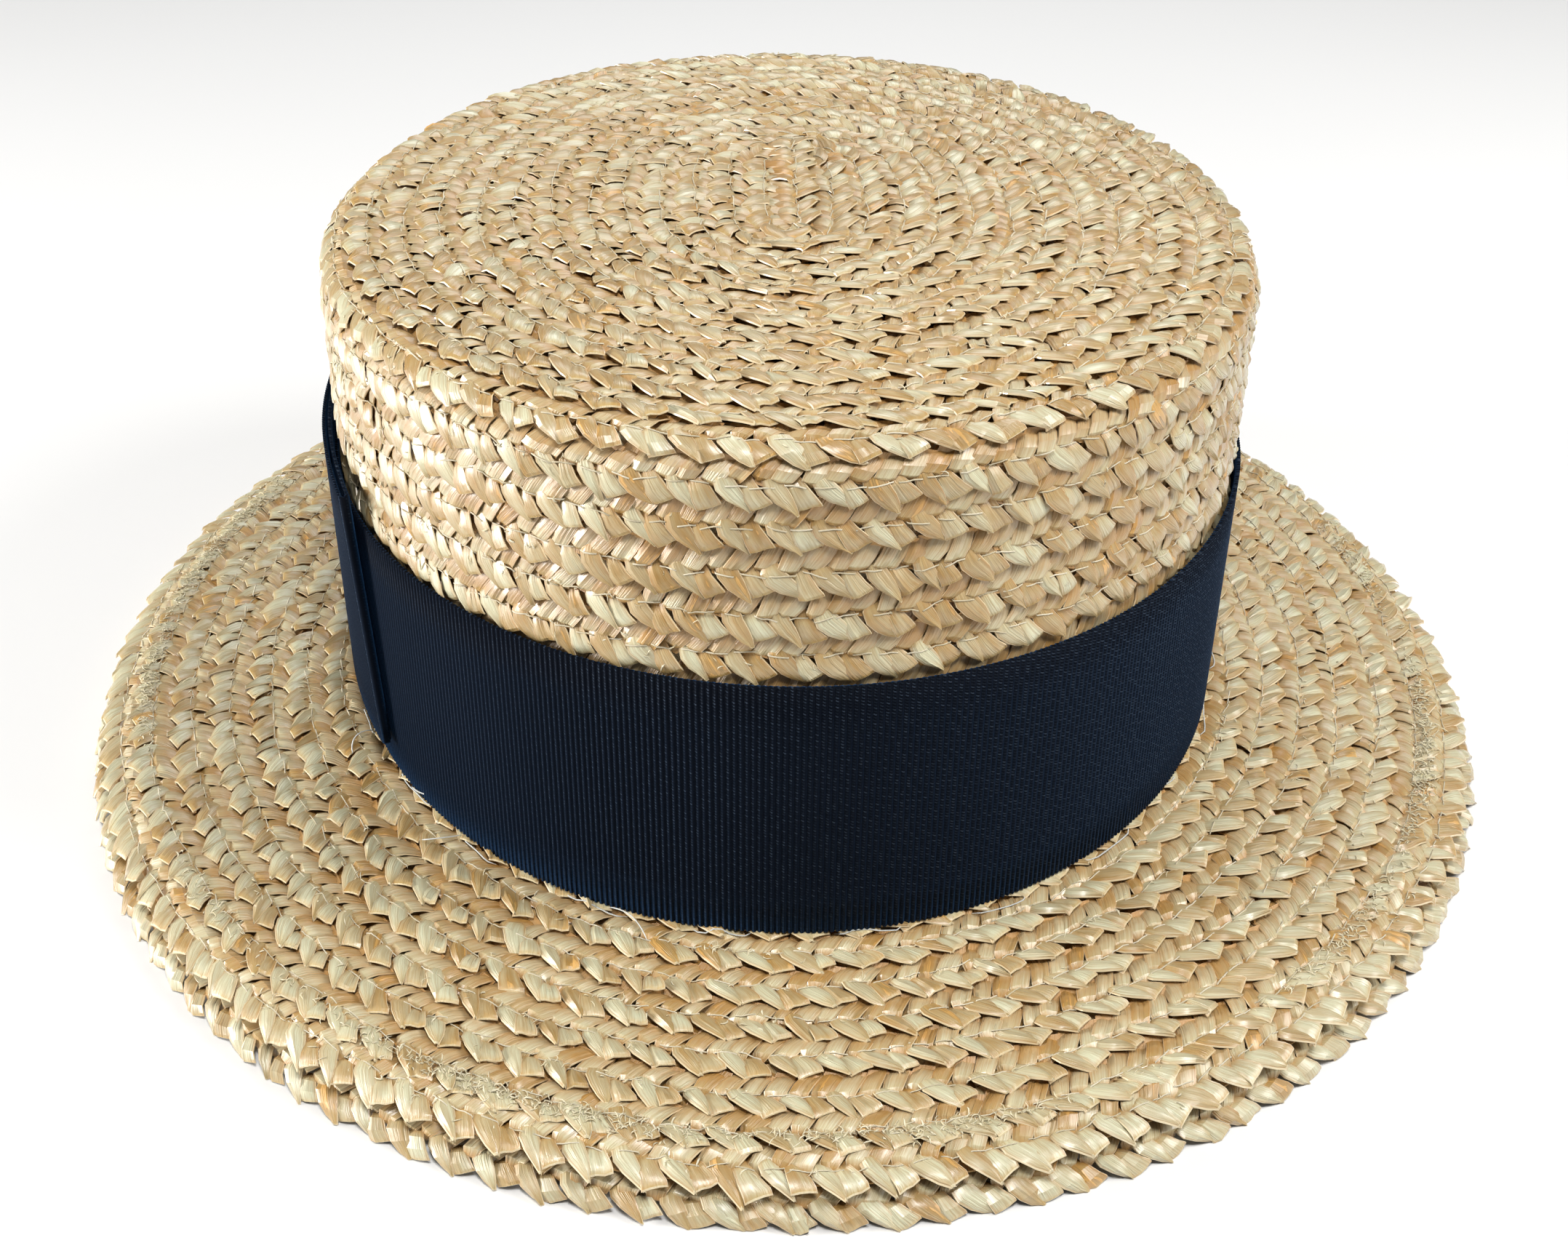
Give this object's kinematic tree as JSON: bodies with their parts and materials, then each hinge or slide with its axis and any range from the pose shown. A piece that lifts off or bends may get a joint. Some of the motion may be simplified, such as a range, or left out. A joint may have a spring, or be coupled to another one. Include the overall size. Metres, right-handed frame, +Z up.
{
  "type": "straw boater hat",
  "caption": "Straw boater hat: flat oval crown and level brim of sewn plait, with a dark ribbon band and a flat bow at one side.",
  "frame": {"origin": "middle of the brim's plan, on the surface that the hat rests on", "axes": "+Z up through the crown, Y along the oval's length, -X the side with the bow"},
  "size_m": [0.2796, 0.3128, 0.1009],
  "materials": {
    "straw": "plaited wheat straw, lacquered, semi-gloss",
    "navy_ribbon": "ribbed grosgrain ribbon, matt"
  },
  "bodies": {
    "root": {"crown": "straw", "brim": "straw", "brim_edge_row": "straw", "ribbon_band": "navy_ribbon", "bow_loop_front": "navy_ribbon", "bow_loop_back": "navy_ribbon", "bow_knot": "navy_ribbon"}
  },
  "joints": []
}
